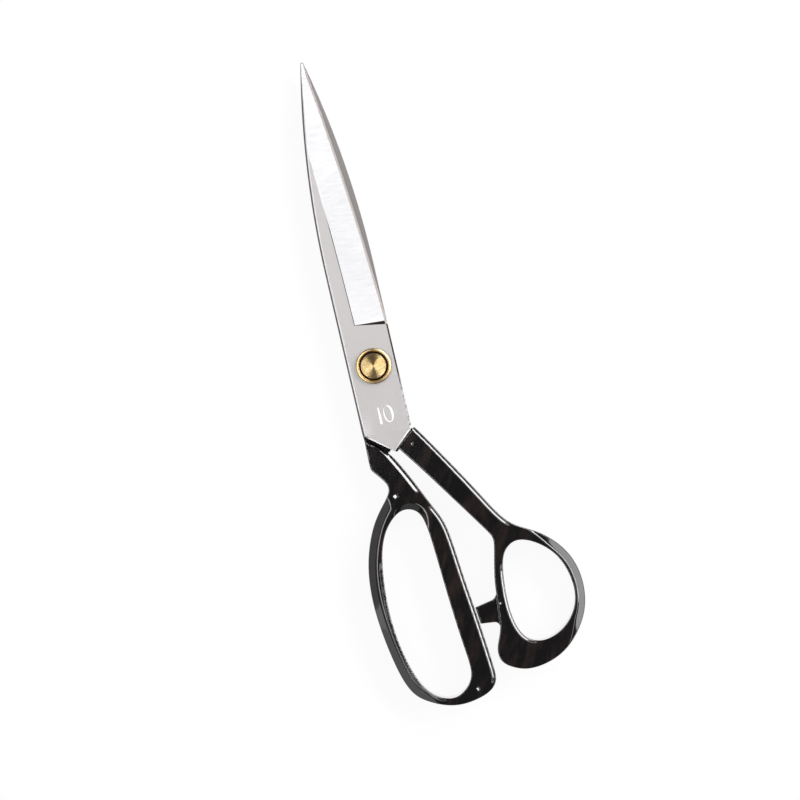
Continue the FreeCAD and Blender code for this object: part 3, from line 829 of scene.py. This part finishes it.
class Casting:
    """A handle as a distance formula: rim and hole outlines, swelling arm, sloped rims, chips,
    tongue, and for the thumb loop its stop. front is the line between two points where the arm
    starts, heading the way it runs, and side is 1 for the upper half, -1 for the lower."""

    stop, chips = None, ()
    rim_tilt, hole_tilt, hollow = 0.62, 0.42, 0.0

    def __init__(self, rim, hole, front, heading, side):
        self.rim, self.hole, self.front, self.side = rim, hole, front, side
        self.heading = np.array(heading) / np.linalg.norm(heading)

    def outlook(self, flat):
        """Both outline measures, then for the rim and the hole what slopes there: the width of
        the broad band, how far in the lip starts and ends, and how much of a lip there is,
        which is all of it where the rim faces SOFT_SIDE and none where it faces away or where
        a band is."""
        rim, hole = self.rim.measure(flat), self.hole.measure(flat)
        shape = []
        for measured, band, lip, facing in (
            (rim, self.rim_band, self.rim_lip, 1), (hole, self.hole_band, self.hole_lip, -1),
        ):
            x, y = measured[2].T
            width = band(x, y)
            start, end, share = lip(x, y)
            share = share * fade(measured[1] @ SOFT_SIDE * facing, 0.45, 0.75)
            shape += [width, start, end, share * (1 - np.minimum(width, 1))]
        return rim, hole, shape

    def level(self, flat, towards):
        """Height of the arm's face on one side of the parting plane: a straight rise from its
        start, held down softly at full thickness."""
        middle = (np.array(self.front[0]) + self.front[1]) / 2
        start = BLADE_THICK + 0.05 - ARM_STEP if towards == self.side else ARM_FAR_SIDE
        full = (HANDLE_TOP - TABLE) / 2
        rise = ((flat - middle) @ self.heading) / ARM_RISE * (full - start) + start
        return full - ramp(full - np.maximum(rise, start), 0.8)

    def distance(self, flat, z, rim, hole, shape):
        """How far outside the casting: sloped faces above and below, rounded against the rim,
        the hole and the slanted front; then the stop and the tongue are joined on."""
        up = z - PARTING
        rim_band, rim_start, rim_end, rim_lip = shape[:4]
        hole_band, hole_start, hole_end, hole_lip = shape[4:]
        past = rim + rim_band
        slope = (1 - self.hollow) * ramp(past, 0.2) + self.hollow * ramp(past - 0.4, 1.0)
        slope *= self.rim_tilt * np.minimum(rim_band, 1)
        slope += self.hole_tilt * ramp(hole_band - hole, 0.3) * np.minimum(hole_band, 1)
        for past, length, lip in (
            (rim + rim_start, rim_start - rim_end, rim_lip),
            (hole_start - hole, hole_start - hole_end, hole_lip),
        ):
            slope += LIP_TILT * (ramp(past, 0.1) - ramp(past - length, 0.1)) * lip
        chipped = 0.0
        for x, y, long, wide in self.chips:
            along = (flat - (x, y)) @ SOFT_SIDE
            across = np.abs((flat - (x, y)) @ (-SOFT_SIDE[1], SOFT_SIDE[0]))
            walls = (1 - fade(along, 0, 0.3)) * (1 - fade(across, wide, wide + 0.25))
            chipped += LIP_TILT * np.clip(along + long, 0, long) * walls
        top = up - self.level(flat, 1) + slope + chipped
        bottom = -up - self.level(flat, -1) + slope
        face = np.maximum(top, bottom)
        body = rounded(rim, face, CORNER)
        body = np.maximum(body, rounded(-hole, face, CORNER))
        body = rounded(body, beyond(flat, *self.front), self.front_round)
        if self.stop:
            plan = self.joined(rim, self.stop(flat), STOP_FILLET)
            beside = np.maximum.reduce(
                [plan, -rim - STOP_SUNK, flat[:, 1] - STOP_TOP_Y, flat[:, 0] - STOP_RIGHT_X]
            )
            slab = rounded(beside, np.abs(up) - STOP_HALF_THICK, STOP_CORNER)
            body = self.joined(body, slab, CORNER)
        return np.minimum(body, self.tongue(flat, up))

    def tongue(self, flat, up):
        """Flat plate under the blade's tail, from the lap to just inside the arm."""
        x = flat[:, 0] if self.side > 0 else 2 * BLADE_MID_X - flat[:, 0]
        own = np.stack([x, flat[:, 1]], 1)
        sides = [
            SPINE_X + 0.1 - x, x - EDGE_X + 0.1, own[:, 1] - LAP_Y + TONGUE_GAP + 0.05,
            -beyond(own, TAIL_POINT, (SPINE_X, TAIL_SPINE_Y)) + 0.1,
            beyond(own, TAIL_POINT, (EDGE_X, TAIL_EDGE_Y)) - 1.0,
        ]
        flat_side = np.maximum.reduce(sides)
        thick = np.abs(up * self.side - TONGUE_GAP - TONGUE_THICK / 2) - TONGUE_THICK / 2
        return rounded(flat_side, thick, 0.1)

    def rim_lip(self, x, y):
        """How far in from the rim its lip starts and ends, and how much of a lip there is."""
        return 1.6, 0.8, 1 - fade(x, 36, 38.5)

    def hole_lip(self, x, y):
        """The same for the hole's rim."""
        return 1.15, 0.4, 1.0

    @staticmethod
    def joined(a, b, radius):
        """Outside both, with the inner corner between them filled by an arc."""
        return -rounded(-a, -b, radius)


print("casting ready")

# %% [markdown]
# The surface itself is found on a grid of small cubes. Where the distance changes sign across a
# cube, the cube gets one point at the mean of its crossed edges, and four cubes round a crossed
# edge make one face. The points are evened out among their neighbours. Then each one slides
# down the slope of the distance until it is exactly on the surface, and that slope is also the
# true normal, which keeps the enamel's shine even.

# %% From distance to surface
CELL = 0.32
CORNERS = np.array([(i, j, k) for i in (0, 1) for j in (0, 1) for k in (0, 1)])
CUBE_EDGES = [
    (a, b) for a in range(8) for b in range(a + 1, 8) if np.abs(CORNERS[a] - CORNERS[b]).sum() == 1
]


def slide(casting, points, steps):
    """Moves points onto the surface, and gives its normals. The distance depends on x and y
    through both outlines, so its slope adds up what each of them contributes."""
    nudge = 1e-4
    for step in range(steps):
        flat, z = points[:, :2], points[:, 2]
        rim, hole, shape = casting.outlook(flat)
        here = casting.distance(flat, z, rim[0], hole[0], shape)
        by_rim = casting.distance(flat, z, rim[0] + nudge, hole[0], shape) - here
        by_hole = casting.distance(flat, z, rim[0], hole[0] + nudge, shape) - here
        by_z = casting.distance(flat, z + nudge, rim[0], hole[0], shape) - here
        by_x = casting.distance(flat + (nudge, 0), z, rim[0], hole[0], shape) - here
        by_y = casting.distance(flat + (0, nudge), z, rim[0], hole[0], shape) - here
        slope = np.empty_like(points)
        slope[:, :2] = rim[1] * by_rim[:, None] + hole[1] * by_hole[:, None]
        slope[:, :2] += np.stack([by_x, by_y], 1)
        slope[:, 2] = by_z
        slope /= nudge
        square = np.maximum((slope**2).sum(1), 1e-3)
        if step < steps - 1:
            move = slope * (here / square)[:, None]
            points = points - np.clip(move, -CELL, CELL)
    return points, slope / np.sqrt(square)[:, None]


def surface(casting, low, high):
    """Points, quads and normals of the surface inside the box from low to high."""
    axes = [np.arange(a, b + CELL, CELL) for a, b in zip(low, high)]
    nx, ny, nz = (len(axis) for axis in axes)
    flat = np.stack(np.meshgrid(axes[0], axes[1], indexing="ij"), -1).reshape(-1, 2)
    rim, hole, shape = casting.outlook(flat)
    field = np.empty((nx * ny, nz))
    for k, z in enumerate(axes[2]):
        field[:, k] = casting.distance(
            flat, np.full(len(flat), z), rim[0], hole[0], shape
        )
    field = field.reshape(nx, ny, nz)
    corner = [field[i : nx - 1 + i, j : ny - 1 + j, k : nz - 1 + k] for i, j, k in CORNERS]
    filled = sum((c < 0).astype(int) for c in corner)
    crossed = (filled > 0) & (filled < 8)
    number = np.full(crossed.shape, -1)
    number[crossed] = np.arange(crossed.sum())
    cell = np.stack(np.nonzero(crossed), 1)
    values = np.stack([c[crossed] for c in corner], 1)
    total, count = np.zeros((len(cell), 3)), np.zeros(len(cell))
    for a, b in CUBE_EDGES:
        hit = (values[:, a] < 0) != (values[:, b] < 0)
        share = np.where(hit, values[:, a] / (values[:, a] - values[:, b] + 1e-30), 0)
        at = CORNERS[a] + share[:, None] * (CORNERS[b] - CORNERS[a])
        total += at * hit[:, None]
        count += hit
    points = np.array(low) + (cell + total / count[:, None]) * CELL
    quads = []
    for axis in range(3):
        ahead = np.roll(field, -1, axis)
        change = (field < 0) != (ahead < 0)
        inner = np.zeros_like(change)
        inner[1:-1, 1:-1, 1:-1] = True
        at = np.stack(np.nonzero(change & inner), 1)
        one, two = np.eye(3, dtype=int)[(axis + 1) % 3], np.eye(3, dtype=int)[(axis + 2) % 3]
        ring = [number[tuple((at - step).T)] for step in (one + two, two, 0 * one, one)]
        face = np.stack(ring, 1)
        leaving = field[tuple(at.T)] < 0
        quads.append(np.where(leaving[:, None], face, face[:, ::-1]))
    quads = np.concatenate(quads)
    for _ in range(3):
        total, count = np.zeros_like(points), np.zeros(len(points))
        for a, b in ((0, 1), (1, 2), (2, 3), (3, 0)):
            np.add.at(total, quads[:, a], points[quads[:, b]])
            np.add.at(count, quads[:, a], 1)
        points = (points + total / count[:, None]) / 2
        points, normals = slide(casting, points, 3)
    return points, quads, normals


print("cubes of", CELL, "mm")

# %% [markdown]
# The enamel is baked on in thick coats: nearly black, with faint brown in long streaks over the
# flats, and a shine as sharp as glass. The surface is not quite even, so the shine wanders a
# little: that is a bump so shallow that only the reflections show it.

# %% Black enamel
enamel, place = start("black_enamel")
turned_place = place.node(
    "ShaderNodeVectorRotate", {"rotation_type": "Z_AXIS"}, {"Vector": place, "Angle": 0.45}
)
brown_streaks = turned_place.stretched(2.2, 0.6, 1.0).noise(110.0, 4.0, 0.65).between(0.46, 0.78)
fleck = place.noise(900.0, 3.0)
tint = brown_streaks.mixed((0.0022, 0.0018, 0.0020, 1), (0.0270, 0.0160, 0.0135, 1))
coat(
    enamel,
    Base_Color=(fleck.between(0.45, 0.9) * 0.4).mixed(tint, (0.0100, 0.0070, 0.0065, 1)),
    Roughness=0.055 + fleck.between(0.3, 0.8) * 0.02,
    IOR=1.6, Coat_Weight=1.0, Coat_Roughness=0.04, Coat_IOR=1.6,
    Normal=place.bump(place.noise(120.0, 1.0), 2e-5),
)
print("black enamel made")

# %% [markdown]
# What is left is where each handle slopes. Small functions of the nearest point of an outline
# give the width of the broad band there, and the reach and share of the lip. Fades run them out
# where the casting has none. Each chip is its place, its length and its half width.

# %% The two handles
finger_front = (
    (2 * BLADE_MID_X - TAIL_POINT[0], TAIL_POINT[1]), (2 * BLADE_MID_X - EDGE_X, TAIL_EDGE_Y)
)
finger_cast = Casting(finger_rim, finger_hole, finger_front, (0.2, -0.98), -1)
finger_cast.front_round, finger_cast.hollow = 1.5, 0.38
finger_cast.chips = [(-2.6, -50.3, 1.3, 0.6), (11.3, -129.3, 0.7, 0.55), (-8.3, -28.7, 0.7, 0.4)]


def finger_rim_lip(x, y):
    """Broad on the arm, none in the gap at the arch, then narrow."""
    gap = fade(-y, 49.5, 51) * (1 - fade(-y, 56, 58))
    arm = fade(y, -52, -48)
    return 1.55 + 0.5 * arm, 0.8 + 0.2 * arm, 1 - gap


def finger_hole_lip(x, y):
    """Only along the lower two thirds of the hole's outer side."""
    return 1.3, 0.35, fade(-y, 72, 78)


def finger_rim_band(x, y):
    """Broad slope on the outer side, from the neck down to the loop's end."""
    return 3.3 * fade(-y, 49.5, 53) * fade(-x, -1, 2) * (1 - fade(x, -11, -3) * fade(-y, 118, 126))


def finger_hole_band(x, y):
    """Slope only in an arch over the top of the hole."""
    return (2.2 + 0.7 * fade(y, -62, -56)) * fade(x, -7, -1) * fade(y, -68, -59)


finger_cast.rim_band, finger_cast.hole_band = finger_rim_band, finger_hole_band
finger_cast.rim_lip, finger_cast.hole_lip = finger_rim_lip, finger_hole_lip

thumb_cast = Casting(thumb_rim, thumb_hole, ((9.9, -26.1), (1.84, -32.4)), (24.6, -36.7), 1)
thumb_cast.front_round = 0.3
thumb_cast.chips = [(26.9, -99.3, 0.6, 0.25), (7.8, -32.3, 0.6, 0.25)]


def thumb_rim_band(x, y):
    """Broad slope on the side away from the other loop, fading out at both ends."""
    return 2.8 * fade(x, 40, 54) * fade(y, -124, -112)


def thumb_hole_lip(x, y):
    """The thumb hole's rim is softened on its lower left only."""
    return 1.15, 0.4, fade(-y, 84, 88)


def thumb_hole_band(x, y):
    """No slope round the thumb's hole."""
    return 0 * x


thumb_cast.rim_band, thumb_cast.hole_band = thumb_rim_band, thumb_hole_band
thumb_cast.hole_lip = thumb_hole_lip

STOP_TIP_TOP, STOP_TIP_LOW = (17.05, -98.9), (17.68, -105.5)
STOP_ROOT_TOP, STOP_ROOT_LOW = (27.0, -97.0), (27.0, -106.6)


def stop(flat):
    """Tapered bar seen from above: inside four lines."""
    sides = [
        -beyond(flat, STOP_TIP_LOW, STOP_TIP_TOP), -beyond(flat, STOP_TIP_TOP, STOP_ROOT_TOP),
        beyond(flat, STOP_TIP_LOW, STOP_ROOT_LOW), flat[:, 0] - STOP_ROOT_TOP[0],
    ]
    return np.maximum.reduce(sides)


thumb_cast.stop = stop
MARGIN = 1.3
for cast, name, body, node in (
    (finger_cast, "finger_handle_enamel", "finger_half", "finger_handle"),
    (thumb_cast, "thumb_handle_enamel", "thumb_half", "thumb_handle"),
):
    box_low, box_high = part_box(node)
    low = np.array(box_low) / MM - MARGIN
    high = np.array(box_high) / MM + MARGIN
    points, quads, normals = surface(cast, low, high)
    handle = make_piece(name, points, [quads], body, node, [enamel])
    handle.data.normals_split_custom_set_from_vertices(normals.tolist())
    print(name, "from", points.min(0).round(2), "to", points.max(0).round(2))

# %% [markdown]
# The table is a plain white sweep. It is white to the camera and in reflections whatever the
# lamps do, by mixing in a glow for those rays only, and it keeps a share of its own shading so
# that the shears still throw a soft shadow on it.

# %% Table and backdrop


def glow_for_view(made, strength):
    """Mixes a white glow into a material for camera, glossy and transmission rays."""
    tree = made.node_tree
    shader = tree.nodes["Principled BSDF"]
    rays = Socket(tree).node("ShaderNodeLightPath")
    seen = Socket(tree, rays.output.node.outputs["Is Camera Ray"])
    for other in ("Is Glossy Ray", "Is Transmission Ray"):
        seen = seen.maths("MAXIMUM", seen, Socket(tree, rays.output.node.outputs[other]))
    glow = Socket(tree).node("ShaderNodeEmission", {}, {"Color": (1, 1, 1, 1), "Strength": 1.0})
    mix = Socket(tree).node(
        "ShaderNodeMixShader", {},
        {0: seen * strength, 1: Socket(tree, shader.outputs[0]), 2: glow},
    )
    out = tree.nodes["Material Output"]
    tree.links.new(mix.output, out.inputs["Surface"])


paper, place = start("white_sweep")
tone = place.noise(8.0, 2.0)
coat(paper, Base_Color=tone.mixed((0.93, 0.93, 0.93, 1), (0.95, 0.95, 0.95, 1)), Roughness=0.9)
glow_for_view(paper, 0.93)
mesh = bpy.data.meshes.new("table")
reach, z = 3.0, -0.0002
mesh.from_pydata(
    [(-reach, -reach, z), (reach, -reach, z), (reach, reach, z), (-reach, reach, z)], [],
    [(0, 1, 2, 3)],
)
mesh.materials.append(paper)
table = bpy.data.objects.new("table", mesh)
bpy.context.scene.collection.objects.link(table)
print("table", 2 * reach, "m across")

# %% [markdown]
# The camera looks straight down, and the view's upright leans 13 degrees from the blades. A
# long lens from far away keeps the outlines true.

# %% Camera
LEAN = math.radians(13.07)
VIEW_WIDTH, VIEW_HEIGHT = 0.3072, 1.6
VIEW_CENTRE = (0.00693, -0.01497)
sight = bpy.data.cameras.new("camera")
sight.sensor_width = 36.0
sight.lens = 36.0 * VIEW_HEIGHT / VIEW_WIDTH
camera = bpy.data.objects.new("camera", sight)
camera.location = (*VIEW_CENTRE, VIEW_HEIGHT + PARTING * MM)
camera.rotation_euler = (0, 0, -LEAN)
bpy.context.scene.collection.objects.link(camera)
bpy.context.scene.camera = camera
print("lens", round(sight.lens, 1), "mm")

# %% [markdown]
# Bright metal and black gloss show the lamps more than themselves. Two large panels stand left
# and right, low enough that the flat steel sees only their edges and the black flats none. A
# thin bright strip up on the right draws the white line along every lip. Five weaker panels
# stand lower round the table, for the broad slopes and the sides of the castings to reflect.

# %% Lamps


def panel(name, azimuth, tilt, distance, long, short, radiance):
    """Rectangular lamp that looks at the shears from azimuth degrees (0 is the view's
    right, 90 its top), tilt degrees away from straight above. Its power in watts is
    radiance times pi times its area."""
    turn, lean = math.radians(azimuth) - LEAN, math.radians(tilt)
    lamp = bpy.data.lights.new(name, "AREA")
    lamp.shape = "RECTANGLE"
    lamp.size, lamp.size_y = long, short
    lamp.energy = radiance * math.pi * long * short
    made = bpy.data.objects.new(name, lamp)
    made.location = (
        VIEW_CENTRE[0] + distance * math.sin(lean) * math.cos(turn),
        VIEW_CENTRE[1] + distance * math.sin(lean) * math.sin(turn),
        distance * math.cos(lean),
    )
    made.rotation_euler = (lean, 0, turn + math.pi / 2)
    bpy.context.scene.collection.objects.link(made)


panel("right_panel", 12, 23, 1.5, 1.6, 0.64, 1.42)
panel("left_panel", 180, 22, 1.5, 1.6, 0.60, 2.6)
panel("rim_strip", 33, 46, 1.4, 1.7, 0.36, 9.5)
panel("low_right", 20, 66, 1.6, 4.6, 0.45, 2.5)
panel("low_left", 172, 65, 1.6, 1.8, 0.60, 0.36)
panel("low_foot", 232, 64, 1.6, 1.7, 0.60, 0.60)
panel("dim_left", 190, 47, 1.6, 1.6, 0.30, 0.20)
panel("dim_foot", 270, 50, 1.6, 1.4, 0.60, 0.26)

world = bpy.data.worlds.new("room")
world.use_nodes = True
bpy.context.scene.world = world
world.node_tree.nodes["Background"].inputs["Color"].default_value = (0.07, 0.07, 0.074, 1)
world.node_tree.nodes["Background"].inputs["Strength"].default_value = 1.0
bpy.context.scene.view_settings.view_transform = "Standard"
print("lamps set")
